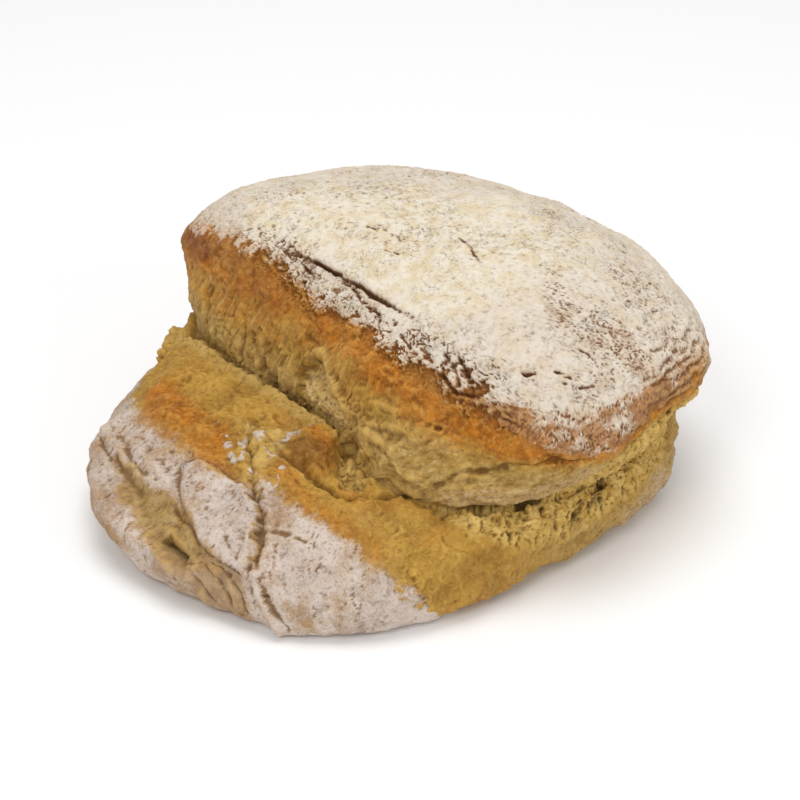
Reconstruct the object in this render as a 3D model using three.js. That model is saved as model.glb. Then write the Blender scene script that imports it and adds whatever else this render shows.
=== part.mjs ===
// A round country loaf with a floured cap, baked and kept as one piece. Millimetres, +Z up.
// +X runs along the cap towards its blunt end, and -Y is the side that burst open in the oven.
// The form is a loft: closed rings stand one above another around the upright axis x = y = 0.
import * as THREE from "three";

// Columns of the loft around the axis, and rows between one ring and the next.
const COLUMNS = 96;
const ROWS_PER_RING = 4;

// Height of the loaf's top above the table, on the axis.
const TOP_HEIGHT = 116;

// Where the rings' points stand around the axis, in degrees from +X towards +Y.
const AZIMUTHS = [0, 25, 50, 90, 135, 175, -150, -133, -118, -100, -80, -62, -45, -25];
// Each ring from the table up, as its distance out from the axis and its height at each azimuth.
const RINGS = {
  foot: {
    out: [93, 95, 90, 80, 94, 108, 107, 121, 138, 152, 155, 150, 130, 105],
    height: [0, 0, 0, 0, 0, 0, 0, 0, 0, 0, 0, 0, 0, 0],
  },
  flank: {
    out: [103, 104, 97, 89, 104, 121, 121, 136, 156, 169, 164, 158, 138, 114],
    height: [10, 9, 10, 14, 14, 13, 12, 11, 11, 9, 7, 6, 6, 7],
  },
  belly: {
    out: [109, 106, 99, 93, 110, 127, 129, 144, 162, 170, 161, 154, 140, 118],
    height: [24, 25, 26, 28, 28, 27, 26, 26, 26, 25, 26, 22, 18, 18],
  },
  shoulder: {
    out: [109, 103, 101, 95, 113, 129, 132, 134, 140, 132, 134, 132, 132, 117],
    height: [33, 35, 37, 38, 38, 37, 38, 42, 44, 46, 43, 38, 30, 28],
  },
  lowerLip: {
    out: [108, 101, 102, 96, 114, 129, 130, 122, 113, 104, 102, 112, 118, 114],
    height: [38, 41, 46, 46, 47, 46, 46, 49, 50, 50, 48, 42, 38, 35],
  },
  crevice: {
    out: [104, 99, 104, 97, 114, 129, 127, 108, 90, 79, 80, 95, 105, 106],
    height: [41, 46, 53, 54, 56, 55, 52, 52, 51, 50, 48, 43, 40, 37],
  },
  capBulge: {
    out: [113, 109, 109, 100, 112, 129, 130, 108, 88, 78, 82, 94, 106, 112],
    height: [50, 56, 61, 63, 65, 66, 64, 64, 63, 62, 61, 57, 53, 50],
  },
  capEdge: {
    out: [118, 118, 109, 96, 106, 125, 129, 94, 74, 65, 66, 74, 86, 110],
    height: [66, 71, 74, 75, 80, 84, 88, 91, 91, 90, 90, 86, 79, 70],
  },
  domeSide: {
    out: [98, 98, 89, 78, 84, 101, 101, 74, 58, 54, 55, 60, 68, 86],
    height: [93, 95, 97, 97, 100, 104, 108, 105, 103, 101, 101, 100, 98, 96],
  },
  domeTop: {
    out: [52, 53, 48, 42, 45, 56, 55, 42, 34, 30, 31, 34, 37, 46],
    height: [111, 112, 112, 112, 112, 113, 114, 112, 112, 111, 111, 111, 111, 111],
  },
};

// Hollows pressed or torn into the side. Each is centred on an azimuth and a ring, counted from the foot as 0,
// and fades out over its spread in degrees and in rings. Depth is measured towards the axis.
const HOLLOWS = [
  { azimuth: -86, ring: 1.85, spreadDegrees: 3.5, spreadRings: 0.35, depth: 6 },
  { azimuth: -98, ring: 2.4, spreadDegrees: 9, spreadRings: 0.4, depth: 4 },
  { azimuth: -80, ring: 3, spreadDegrees: 4, spreadRings: 0.7, depth: 4 },
  { azimuth: -96, ring: 6, spreadDegrees: 7, spreadRings: 0.5, depth: 4 },
  { azimuth: -72, ring: 6, spreadDegrees: 6, spreadRings: 0.5, depth: 4 },
];

// Swelling folds of stretched dough, given in the same way. Height is measured away from the axis.
const FOLDS = [
  { azimuth: -78, ring: 4.4, spreadDegrees: 6, spreadRings: 0.4, height: 6 },
  { azimuth: -50, ring: 5.9, spreadDegrees: 8, spreadRings: 0.4, height: 3 },
  { azimuth: -70, ring: 1.4, spreadDegrees: 4, spreadRings: 0.8, height: 3 },
];

// Cubic from a to b with the slopes given per unit of s, over a span of the given length.
const cubic = (a, b, slopeA, slopeB, span, s) =>
  a * (2 * s ** 3 - 3 * s ** 2 + 1) +
  b * (3 * s ** 2 - 2 * s ** 3) +
  slopeA * span * (s ** 3 - 2 * s ** 2 + s) +
  slopeB * span * (s ** 3 - s ** 2);

// Degrees from one azimuth on to another, from 0 up to 360.
const degreesOn = (from, to) => (((to - from) % 360) + 360) % 360;

// Value at an azimuth of the smooth closed curve through the values at AZIMUTHS.
function around(values, azimuth) {
  const count = AZIMUTHS.length;
  const turn = (i) => (i + count) % count;
  const gap = (i) => degreesOn(AZIMUTHS[turn(i)], AZIMUTHS[turn(i + 1)]);
  const rise = (i) => (values[turn(i + 1)] - values[turn(i)]) / gap(i);
  const slope = (i) => (rise(i - 1) * gap(i) + rise(i) * gap(i - 1)) / (gap(i - 1) + gap(i));
  const i = AZIMUTHS.findIndex((start, k) => degreesOn(start, azimuth) < gap(k));
  const share = degreesOn(AZIMUTHS[i], azimuth) / gap(i);
  return cubic(values[i], values[turn(i + 1)], slope(i), slope(i + 1), gap(i), share);
}

// How strongly a hollow or a fold acts at a place on the side, from 1 at its centre down to 0.
function strength(mark, azimuth, ring) {
  const aside = Math.min(degreesOn(mark.azimuth, azimuth), degreesOn(azimuth, mark.azimuth));
  return Math.exp(-((aside / mark.spreadDegrees) ** 2) - ((ring - mark.ring) / mark.spreadRings) ** 2);
}

// One upright section of the loaf, from the foot to just under the top, as [distance out, height] rows.
function section(azimuth) {
  const knots = Object.values(RINGS).map((ring) => [around(ring.out, azimuth), around(ring.height, azimuth)]);
  knots.push([0, TOP_HEIGHT]);
  const last = knots.length - 1;
  const slope = (k, axis) => {
    if (k === 0) return knots[1][axis] - knots[0][axis];
    if (k === last) return axis === 0 ? knots[last][0] - knots[last - 1][0] : 0;
    return (knots[k + 1][axis] - knots[k - 1][axis]) / 2;
  };
  const rows = [];
  for (let row = 0; row < last * ROWS_PER_RING; row++) {
    const k = Math.floor(row / ROWS_PER_RING);
    const share = row / ROWS_PER_RING - k;
    const along = (axis) =>
      cubic(knots[k][axis], knots[k + 1][axis], slope(k, axis), slope(k + 1, axis), 1, share);
    const hollow = HOLLOWS.reduce((sum, h) => sum + h.depth * strength(h, azimuth, k + share), 0);
    const fold = FOLDS.reduce((sum, f) => sum + f.height * strength(f, azimuth, k + share), 0);
    rows.push([along(0) - hollow + fold, row === 0 ? 0 : along(1)]);
  }
  return rows;
}

// The closed skin: the sections joined side by side, a flat foot below and a fan of faces at the top.
function loafGeometry() {
  const positions = [];
  for (let column = 0; column < COLUMNS; column++) {
    const azimuth = (360 * column) / COLUMNS;
    const turn = THREE.MathUtils.degToRad(azimuth);
    for (const [out, height] of section(azimuth)) {
      positions.push(out * Math.cos(turn), out * Math.sin(turn), height);
    }
  }
  const rows = positions.length / 3 / COLUMNS;
  const footCentre = COLUMNS * rows;
  const top = footCentre + 1;
  positions.push(0, 0, 0, 0, 0, TOP_HEIGHT);

  const index = [];
  for (let column = 0; column < COLUMNS; column++) {
    const here = column * rows;
    const next = ((column + 1) % COLUMNS) * rows;
    index.push(footCentre, next, here);
    for (let row = 0; row < rows - 1; row++) {
      index.push(here + row, next + row, next + row + 1);
      index.push(here + row, next + row + 1, here + row + 1);
    }
    index.push(here + rows - 1, next + rows - 1, top);
  }
  const geometry = new THREE.BufferGeometry();
  geometry.setAttribute("position", new THREE.Float32BufferAttribute(positions, 3));
  geometry.setIndex(index);
  return geometry;
}

// The loaf moved so that its bounding box stands centred on the axis, with its foot on z = 0.
const geometry = loafGeometry();
geometry.computeBoundingBox();
const middle = geometry.boundingBox.getCenter(new THREE.Vector3());
geometry.translate(-middle.x, -middle.y, 0);
geometry.computeVertexNormals();

const crust = new THREE.MeshStandardMaterial({ color: 0xc9a06a, roughness: 0.85, metalness: 0 });
const loaf = new THREE.Mesh(geometry, crust);
loaf.name = "loaf";

const group = new THREE.Group();
group.name = "bread_loaf";
group.add(loaf);

export default group;
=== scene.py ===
"""A round country loaf that burst along one side: a floured cap over a bulging lower lobe.

The loaf is one skin. Closed rings stand one above another around an upright axis, and every point of
the skin is known by its azimuth, in degrees from +X towards +Y, and its ring, counted from the foot.
Lengths in this script are millimetres until the mesh is written in metres.
"""

import bpy
import numpy as np
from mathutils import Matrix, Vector


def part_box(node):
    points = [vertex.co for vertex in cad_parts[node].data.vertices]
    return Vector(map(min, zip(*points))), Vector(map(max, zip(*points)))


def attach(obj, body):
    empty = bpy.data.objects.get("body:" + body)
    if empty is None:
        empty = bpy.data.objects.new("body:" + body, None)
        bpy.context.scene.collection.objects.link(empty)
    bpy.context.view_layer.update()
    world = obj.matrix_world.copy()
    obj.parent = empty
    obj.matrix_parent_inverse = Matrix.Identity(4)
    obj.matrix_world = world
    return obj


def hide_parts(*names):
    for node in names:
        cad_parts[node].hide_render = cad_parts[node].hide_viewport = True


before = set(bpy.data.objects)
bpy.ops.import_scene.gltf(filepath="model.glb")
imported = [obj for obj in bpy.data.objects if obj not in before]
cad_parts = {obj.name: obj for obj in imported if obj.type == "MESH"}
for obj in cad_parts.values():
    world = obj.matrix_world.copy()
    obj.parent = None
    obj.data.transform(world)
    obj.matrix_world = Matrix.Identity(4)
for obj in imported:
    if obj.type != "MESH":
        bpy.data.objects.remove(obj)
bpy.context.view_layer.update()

MM = 0.001

# ---------------------------------------------------------------- the loaf's form

AZIMUTHS = np.array([0, 25, 50, 90, 135, 175, -150, -133, -118, -100, -80, -62, -45, -25], float)
# Distance out from the axis and height of each ring, from the table up, at each azimuth.
RINGS = {
    "foot": (
        [93, 95, 90, 80, 94, 108, 107, 121, 138, 152, 155, 150, 130, 105],
        [0, 0, 0, 0, 0, 0, 0, 0, 0, 0, 0, 0, 0, 0],
    ),
    "flank": (
        [103, 104, 97, 89, 104, 121, 121, 136, 156, 169, 164, 158, 138, 114],
        [10, 9, 10, 14, 14, 13, 12, 11, 11, 9, 7, 6, 6, 7],
    ),
    "belly": (
        [109, 106, 99, 93, 110, 127, 129, 144, 162, 170, 161, 154, 140, 118],
        [24, 25, 26, 28, 28, 27, 26, 26, 26, 25, 26, 22, 18, 18],
    ),
    "shoulder": (
        [109, 103, 101, 95, 113, 129, 132, 134, 140, 132, 134, 132, 132, 117],
        [33, 35, 37, 38, 38, 37, 38, 42, 44, 46, 43, 38, 30, 28],
    ),
    "lower lip": (
        [108, 101, 102, 96, 114, 129, 130, 122, 113, 104, 102, 112, 118, 114],
        [38, 41, 46, 46, 47, 46, 46, 49, 50, 50, 48, 42, 38, 35],
    ),
    "crevice": (
        [104, 99, 104, 97, 114, 129, 127, 108, 90, 79, 80, 95, 105, 106],
        [41, 46, 53, 54, 56, 55, 52, 52, 51, 50, 48, 43, 40, 37],
    ),
    "cap bulge": (
        [113, 109, 109, 100, 112, 129, 130, 108, 88, 78, 82, 94, 106, 112],
        [50, 56, 61, 63, 65, 66, 64, 64, 63, 62, 61, 57, 53, 50],
    ),
    "cap edge": (
        [118, 118, 109, 96, 106, 125, 129, 94, 74, 65, 66, 74, 86, 110],
        [66, 71, 74, 75, 80, 84, 88, 91, 91, 90, 90, 86, 79, 70],
    ),
    "dome side": (
        [98, 98, 89, 78, 84, 101, 101, 74, 58, 54, 55, 60, 68, 86],
        [93, 95, 97, 97, 100, 104, 108, 105, 103, 101, 101, 100, 98, 96],
    ),
    "dome top": (
        [52, 53, 48, 42, 45, 56, 55, 42, 34, 30, 31, 34, 37, 46],
        [111, 112, 112, 112, 112, 113, 114, 112, 111, 111, 111, 111, 111, 111],
    ),
}
LAST_RING = len(RINGS)
loaf_low, loaf_high = (np.array(corner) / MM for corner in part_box("loaf"))
TOP_HEIGHT = loaf_high[2]


def degrees_apart(a, b):
    """Signed degrees from b round to a, between -180 and 180."""
    return np.mod(a - b + 180, 360) - 180


def cubic(a, b, slope_a, slope_b, share):
    """Cubic from a to b over a unit span."""
    s2, s3 = share * share, share**3
    return (
        a * (2 * s3 - 3 * s2 + 1)
        + b * (3 * s2 - 2 * s3)
        + slope_a * (s3 - 2 * s2 + share)
        + slope_b * (s3 - s2)
    )


def around(values, azimuth):
    """Value at each azimuth of the smooth closed curve through the values at AZIMUTHS."""
    values = np.asarray(values, float)
    gap = np.mod(np.roll(AZIMUTHS, -1) - AZIMUTHS, 360)
    rise = (np.roll(values, -1) - values) / gap
    rise_back, gap_back = np.roll(rise, 1), np.roll(gap, 1)
    slope = (rise_back * gap + rise * gap_back) / (gap_back + gap)
    result = np.empty(len(azimuth))
    for i in range(len(AZIMUTHS)):
        past = np.mod(azimuth - AZIMUTHS[i], 360)
        here = past < gap[i]
        k = (i + 1) % len(AZIMUTHS)
        result[here] = cubic(values[i], values[k], slope[i] * gap[i], slope[k] * gap[i], past[here] / gap[i])
    return result


def loft(azimuth, ring):
    """Points of the smooth skin around the rings' axis, n by 3. Rings from -1 to 0 are the flat underside."""
    azimuth, ring = np.asarray(azimuth, float), np.asarray(ring, float)
    knots = np.zeros((LAST_RING + 1, 2, len(azimuth)))
    for k, (out, height) in enumerate(RINGS.values()):
        knots[k] = around(out, azimuth), around(height, azimuth)
    knots[LAST_RING, 1] = TOP_HEIGHT
    slopes = np.zeros_like(knots)
    slopes[0] = knots[1] - knots[0]
    slopes[1:-1] = (knots[2:] - knots[:-2]) / 2
    slopes[-1, 0] = -knots[-2, 0]
    k = np.clip(np.floor(ring).astype(int), 0, LAST_RING - 1)
    share = np.clip(ring - k, 0, 1)
    each = np.arange(len(azimuth))
    out, height = (
        cubic(knots[k, c, each], knots[k + 1, c, each], slopes[k, c, each], slopes[k + 1, c, each], share)
        for c in (0, 1)
    )
    out = np.where(ring < 0, out * (1 + np.clip(ring, -1, 0)), out)
    turn = np.radians(azimuth)
    return np.stack([out * np.cos(turn), out * np.sin(turn), height], 1)


def axis_place():
    """Where the rings' axis stands in the frame, whose origin is under the middle of the loaf's box."""
    columns, rows = np.meshgrid(np.arange(0, 360, 3.75), np.arange(0, LAST_RING, 0.25))
    skin = loft(columns.ravel(), rows.ravel())
    middle = (loaf_low + loaf_high - skin.min(0) - skin.max(0)) / 2
    return middle * (1, 1, 0)


AXIS = axis_place()

# ---------------------------------------------------------------- noise in the solid


LATTICE = 64
# An index and this wraps round the lattice, whose size is a power of two.
WRAP = LATTICE - 1


def lattice(seed):
    """A seeded block of numbers from -1 to 1."""
    return np.random.default_rng(seed).uniform(-1, 1, (LATTICE, LATTICE, LATTICE)).astype(np.float32)


def noise(points, seed):
    """Smooth value noise from -1 to 1 at points counted in cells."""
    table = lattice(seed)
    base = np.floor(points).astype(np.int32)
    f = (points - base).astype(np.float32)
    f = f * f * f * (f * (f * 6 - 15) + 10)
    total = np.zeros(len(points), np.float32)
    for dx in (0, 1):
        for dy in (0, 1):
            for dz in (0, 1):
                corner = table[(base[:, 0] + dx) & WRAP, (base[:, 1] + dy) & WRAP, (base[:, 2] + dz) & WRAP]
                weight = (f[:, 0] if dx else 1 - f[:, 0]) * (f[:, 1] if dy else 1 - f[:, 1])
                total += corner * weight * (f[:, 2] if dz else 1 - f[:, 2])
    return total


def layered(points, size, octaves, seed, fade=0.5):
    """Layers of noise, each half the size of the one before, scaled to about -1 to 1."""
    total, strength, reach = 0, 1.0, 0.0
    for layer in range(octaves):
        total = total + strength * noise(points * (2.03**layer / size) + 17.3 * layer, seed + layer)
        reach += strength
        strength *= fade
    return total / reach * 1.6


def scattered(points, size, seed):
    """Distance to the nearest of points scattered one to a cell, in cells."""
    tables = [lattice(seed + axis) * 0.5 + 0.5 for axis in range(3)]
    scaled = points / size
    base = np.floor(scaled).astype(np.int32)
    near = np.full(len(points), 9.0, np.float32)
    for dx in (-1, 0, 1):
        for dy in (-1, 0, 1):
            for dz in (-1, 0, 1):
                cell = base + (dx, dy, dz)
                index = tuple((cell & WRAP).T)
                away = np.stack([table[index] for table in tables], 1) + cell - scaled
                distance = np.sqrt((away * away).sum(1)).astype(np.float32)
                near = np.minimum(near, distance)
    return near


def ramp(value, start, end):
    """0 at start, 1 at end and smooth between. The start may be the larger."""
    share = np.clip((value - start) / (end - start), 0, 1)
    return share * share * (3 - 2 * share)


def hairlines(points, size, octaves, seed, fade=0.5, width=0.1, core=0.01):
    """1 along thin lines that wander where the noise changes sign, and 0 away from them."""
    return ramp(np.abs(layered(points, size, octaves, seed, fade)), width, core)


def sheet(across, along_it):
    """Places on a flat sheet, for noise that is drawn out one way over the skin."""
    return np.stack([across, along_it, np.zeros_like(across)], 1)


def strongest(*covers):
    """The largest of several covers at each vertex."""
    return np.maximum.reduce(covers)


# ---------------------------------------------------------------- the skin's grid

# Cells along each edge of the cube that the grid is made from.
GRID = 330


def skin_grid(n):
    """A cube's faces cut n by n: the corner lattice of each vertex, the quads, and their flat layout."""
    u, v = np.meshgrid(np.arange(n + 1), np.arange(n + 1), indexing="ij")
    lo, hi = np.zeros_like(u), np.full_like(u, n)
    # Each face is (x, y, z) over u and v, seen from outside with u to the right and v up.
    faces = {
        "top": (u, v, hi),
        "front": (u, lo, v),
        "right": (hi, u, v),
        "back": (n - u, hi, v),
        "left": (lo, n - u, v),
        "under": (u, n - v, lo),
    }
    # The flat layout: corner and size of each face's patch in the unit square.
    patches = {
        "top": (0, 0.5, 0.5, 0.5),
        "front": (0, 0, 0.5, 0.5),
        "right": (0.5, 0.75, 0.5, 0.25),
        "back": (0.5, 0.5, 0.5, 0.25),
        "left": (0.5, 0.25, 0.5, 0.25),
        "under": (0.5, 0, 0.5, 0.25),
    }
    margin = 0.006
    codes, flats = [], []
    for name, (x, y, z) in faces.items():
        codes.append((x * (n + 1) + y) * (n + 1) + z)
        left, bottom, width, height = patches[name]
        flats.append(
            np.stack(
                [
                    left + margin + (width - 2 * margin) * u / n,
                    bottom + margin + (height - 2 * margin) * v / n,
                ],
                -1,
            )
        )
    codes = np.stack(codes)
    kept, index = np.unique(codes, return_inverse=True)
    index = index.reshape(codes.shape)
    lattice_points = np.stack([kept // (n + 1) ** 2, kept // (n + 1) % (n + 1), kept % (n + 1)], 1)
    corners = [(slice(None, -1), slice(None, -1)), (slice(1, None), slice(None, -1))]
    corners += [(slice(1, None), slice(1, None)), (slice(None, -1), slice(1, None))]
    quads = np.stack([index[:, a, b] for a, b in corners], -1).reshape(-1, 4)
    flat = np.stack([np.stack(flats)[:, a, b] for a, b in corners], -2).reshape(-1, 4, 2)
    return lattice_points, quads, flat


def normals(points, quads):
    """Unit normals at the vertices."""
    across = np.cross(points[quads[:, 2]] - points[quads[:, 0]], points[quads[:, 3]] - points[quads[:, 1]])
    total = np.zeros_like(points)
    for axis in range(3):
        weights = np.repeat(across[:, axis], 4)
        total[:, axis] = np.bincount(quads.ravel(), weights, len(points))
    return total / np.maximum(np.linalg.norm(total, axis=1, keepdims=True), 1e-9)


def eased(values, quads, rounds=1):
    """Values averaged with their neighbours."""
    count = np.bincount(quads.ravel(), minlength=len(values))
    for _ in range(rounds):
        middle = np.repeat(values[quads].mean(1), 4)
        values = np.bincount(quads.ravel(), middle, len(values)) / count
    return values


lattice_points, quads, flat = skin_grid(GRID)
direction = np.tan((lattice_points / GRID - 0.5) * np.pi / 2)
direction /= np.linalg.norm(direction, axis=1, keepdims=True)
azimuth = np.degrees(np.arctan2(direction[:, 1], direction[:, 0]))
elevation = np.degrees(np.arcsin(direction[:, 2]))
# The grid's rows are spread over the underside, the sides and the dome.
ring = np.interp(elevation, [-90, -42, 46, 90], [-1, 0, 7.7, LAST_RING])
still = loft(azimuth, ring) + AXIS

# ---------------------------------------------------------------- lines and areas on the skin
# Each is a list of (azimuth, ring) points.


def along(line, shift=0.0):
    """Ring of a line that runs round the loaf, at each vertex's azimuth plus a shift in degrees."""
    where, height = np.array(sorted(line), float).T
    where = np.concatenate([where - 360, where, where + 360])
    return np.interp(azimuth + shift, where, np.tile(height, 3))


# Distances are worked out as far as REACH from a line, and anything further counts as FAR.
REACH, FAR = 40, 1000.0


def distance_to(line):
    """Distance in mm from each vertex to a line, and the share of its length where it is nearest."""
    line = np.array(line, float)
    steps = np.linspace(0, len(line) - 1, 6 * (len(line) - 1) + 1)
    knots = np.arange(len(line))
    path = loft(np.interp(steps, knots, line[:, 0]), np.interp(steps, knots, line[:, 1])) + AXIS
    path += np.stack([layered(path, 9, 3, seed) for seed in (181, 191, 201)], 1)
    best, share = np.full(len(still), FAR), np.zeros(len(still))
    middle, reach = (path.min(0) + path.max(0)) / 2, np.ptp(path, axis=0) / 2 + REACH
    close = (np.abs(still - middle) < reach).all(1)
    near = still[close]
    nearest, shares = np.full(len(near), FAR), np.zeros(len(near))
    for k in range(len(path) - 1):
        span = path[k + 1] - path[k]
        t = np.clip((near - path[k]) @ span / max(span @ span, 1e-9), 0, 1)
        gap = np.linalg.norm(near - path[k] - t[:, None] * span, axis=1)
        better = gap < nearest
        nearest[better] = gap[better]
        shares[better] = ((k + t) / (len(path) - 1))[better]
    best[close], share[close] = nearest, shares
    return best, share


def away_from(line):
    """Distance in mm from each vertex to a line."""
    away, _ = distance_to(line)
    return away


def inside(outline):
    """Signed distance in mm from each vertex to the edge of an area: above 0 inside it."""
    away = away_from([*outline, outline[0]])
    corners = np.array(outline, float)
    middle = corners[:, 0].mean()
    across = degrees_apart(azimuth, middle)
    corners[:, 0] -= middle
    within = np.zeros(len(azimuth), bool)
    for (x0, y0), (x1, y1) in zip(corners, np.roll(corners, -1, axis=0)):
        if y0 != y1:
            crosses = (ring >= min(y0, y1)) & (ring < max(y0, y1))
            within ^= crosses & (across < x0 + (ring - y0) * (x1 - x0) / (y1 - y0))
    return np.where(within, away, -away)


def hill(away, width):
    """A rounded ridge: 1 at nothing away, and about a third at the width."""
    return np.exp(-((away / width) ** 2))


def tapered(share, taper=0.15):
    """1 along a line, falling to 0 at both its ends."""
    return ramp(np.minimum(share, 1 - share), 0, taper)


def arc(rise_from, rise_to, fall_from, fall_to):
    """A stretch of the way round the loaf, in degrees: 1 along it and 0 beyond its soft ends."""
    return ramp(azimuth, rise_from, rise_to) * ramp(azimuth, fall_to, fall_from)


# Middles of the burst front, of the floured back and of the near end, as azimuths.
FRONT, BACK, NEAR_END = -82, 120, -15
# Edges of the bare, burst band: flour lies above the upper one and below the lower one.
CAP_FLOUR_EDGE = [
    (-180, 5.6), (-165, 6.4), (-154, 6.95), (-147, 7.25), (-141, 7.35), (-136, 7.35), (-129, 7.22),
    (-123, 7.1), (-116, 6.98), (-106, 6.88), (-96, 6.96), (-84, 7.03), (-61, 7.08), (-51, 7.13),
    (-36, 7.12), (-29.5, 7.15), (-25.8, 7.08), (-22, 7.02), (-18, 6.97), (-13.8, 6.92), (-9.5, 6.88),
    (-4.5, 6.93), (1, 7.09), (7.5, 7.18), (18, 7.1), (30, 6.9), (45, 6.5), (60, 5.9), (75, 5.6),
]
LOBE_FLOUR_EDGE = [
    (-180, 5.2), (-160, 4.4), (-140, 3.1), (-126, 2.7), (-115, 3.05), (-103, 3.04), (-93, 3.08),
    (-86, 3.22), (-82.5, 3.27), (-80.5, 3.48), (-75, 3.38), (-70.5, 3.3), (-66, 3.3), (-58, 3),
    (-52, 2.82), (-49, 2.45), (-46, 1.9), (-43, 1.2), (-39, 0.2), (-36, -0.6), (20, -0.6), (35, 1.5),
    (50, 3.5), (75, 5.2),
]
# Where the cap lies over the lower part.
CREVICE = [
    (-175, 5.2), (-160, 4.9), (-140, 4.6), (-130, 4.95), (-112, 5.05), (-95, 5.0), (-84, 5.05),
    (-76, 5.2), (-60, 4.85), (-50, 4.85), (-44, 5.05), (-33.5, 5.2), (-27, 5.3), (-19.5, 5.42),
    (-13.5, 5.92), (-7.5, 6.5), (-2, 6.78), (5, 6.98), (12, 7.0), (25, 6.8), (45, 6.2), (60, 5.7), (75, 5.4),
]
# Lower edge of the open crumb under the cap's near end.
CRUMB_EDGE = [
    (-60, 4.8), (-45, 4.6), (-40.5, 4.2), (-34, 3.5), (-28, 2.8), (-21, 2.3), (-12.5, 1.95), (-3, 1.8),
    (7.5, 1.8), (22, 2.0), (36, 2.9), (50, 4.6), (60, 5.6),
]
# Where the thick, cream flour of the crown gives way to the thinner, greyer flour round it.
CREAM_EDGE = [
    (-180, 8.9), (-160, 8.5), (-145, 8.05), (-120, 8.1), (-90, 8.2), (-60, 8.3), (-40, 8.55), (-20, 8.8),
    (0, 8.95), (30, 8.8), (60, 9), (90, 9.2), (150, 9.1),
]
wander = layered(still, 22, 3, 11)
ragged = layered(still, 6, 4, 21)
fine = layered(still, 2.2, 3, 31)
lump = layered(still, 11, 3, 37)
cap_edge = along(CAP_FLOUR_EDGE)
lobe_edge = along(LOBE_FLOUR_EDGE, 2.5 * lump + 1.0 * ragged)
crevice_ring = along(CREVICE)
crumb_edge = along(CRUMB_EDGE)


def area(outline, fade=1.5, rough=1.0):
    """Cover of an area with a soft, rough edge, from 0 to 1."""
    return ramp(inside(outline) + rough * (1.2 * ragged + 0.5 * fine), -fade, fade)


cap_rough = 0.1 * wander + 0.16 * ragged + 0.1 * fine
flour_above = ramp(ring + cap_rough, cap_edge - 0.14, cap_edge + 0.22)
flour_below = ramp(ring + 0.1 * wander + 0.14 * ragged + 0.08 * fine, lobe_edge + 0.2, lobe_edge - 0.3)
bare = np.clip(1 - flour_above - flour_below, 0, 1)

# ---------------------------------------------------------------- broad shapes

# Uneven dough all over, calmer underneath.
lift = 1.4 * layered(still, 60, 2, 41) + 0.9 * wander
lift += 0.8 * lump * ramp(ring, 8.2, 6.8)
lift *= ramp(ring, -0.2, 0.6) * 0.85 + 0.15

# The gap under the cap: a soft fold at the far end, open and deep under the near end.
from_crevice = ring - crevice_ring
gap_depth = np.interp(
    azimuth,
    [-165, -150, -100, -80, -56, -46, -38, -24, -14, -6, 10, 30, 60],
    [0, 3, 3, 2, 0.8, 2, 3.4, 4.4, 3.2, 2.2, 1.8, 1.4, 0],
)
gap = hill(from_crevice + 0.03 * ragged, 0.17) * ramp(gap_depth, 0, 1.5)
lift -= gap * gap_depth
# Crumb swelling into the corner under the lip.
under_lip = arc(-46, -34, 34, 56)
lift += 3.6 * hill(ring - np.minimum(crevice_ring - 0.6, 4.85), 0.4) * under_lip
# The rolled lip over the gap.
under_cap = arc(-50, -42, -10, 4)
lift += 2.0 * hill(from_crevice - 0.42, 0.34) * under_cap

# Open crumb, set back between the lip and the lower crust.
crumb_strip = ramp(ring + 0.2 * ragged + 0.1 * fine, crumb_edge - 0.15, crumb_edge + 0.55)
crumb_strip *= ramp(from_crevice, 0.06, -0.04) * arc(-50, -42, 40, 58)
lift -= 1.6 * crumb_strip

# Fluffy ridge of dough along the back of the shelf, curling down into a beak.
RIDGE = [
    (-140, 3.9), (-132.5, 4.62), (-124, 4.82), (-112, 4.82), (-100.5, 4.78), (-92, 4.76), (-84, 4.84),
    (-76, 5.1),
]
ridge, ridge_share = distance_to(RIDGE)
lift += 3.8 * hill(ridge + 0.8 * ragged, 4.2) * (0.6 + 0.4 * ridge_share)
BEAK = [(-85, 4.3), (-83.5, 4.62), (-76, 5.0), (-74.4, 4.6), (-71.8, 4.1), (-78, 3.95)]
in_beak = inside(BEAK)
lift += 5.0 * ramp(in_beak + 0.6 * ragged, -3.5, 3)

# The hollow torn under an arch in the cap's wall, narrowing down to the beak.
HOLLOW = [
    (-97.5, 5.75), (-98.5, 6.1), (-96.5, 6.42), (-92, 6.5), (-86.8, 6.45), (-81.5, 6.35), (-76.5, 6.25),
    (-72.5, 6.1), (-71, 5.9), (-75, 5.45), (-80, 5.15), (-87, 5.05), (-93, 5.1), (-96.5, 5.35),
]
hollow = ramp(inside(HOLLOW) + 0.9 * ragged, -1, 2.2)
lift -= hollow * (3.8 + 3.0 * ramp(ring, 5.9, 6.3) * ramp(azimuth, -80, -90))
ARCH = [
    (-99, 5.6), (-100, 6.1), (-98, 6.42), (-94.5, 6.54), (-90, 6.56), (-86, 6.5), (-81, 6.4), (-76, 6.3),
    (-71.5, 6.15),
]
from_arch, arch_share = distance_to(ARCH)
lift += 2.8 * hill(from_arch + 0.4 * ragged, 1.7) * tapered(arch_share)

# Pocket of crumb beside the beak.
POCKET = [
    (-75.5, 5.2), (-71.5, 5.65), (-67, 5.9), (-63, 5.8), (-61, 5.3), (-61, 4.8), (-63, 4.4), (-67, 4.2),
    (-71, 4.35), (-73.5, 4.8),
]
pocket = ramp(inside(POCKET) + 1.0 * ragged, -1.5, 3)
lift += 2.2 * hill(from_crevice, 0.5) * arc(-76, -66, -52, -42) - 4.6 * pocket

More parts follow.
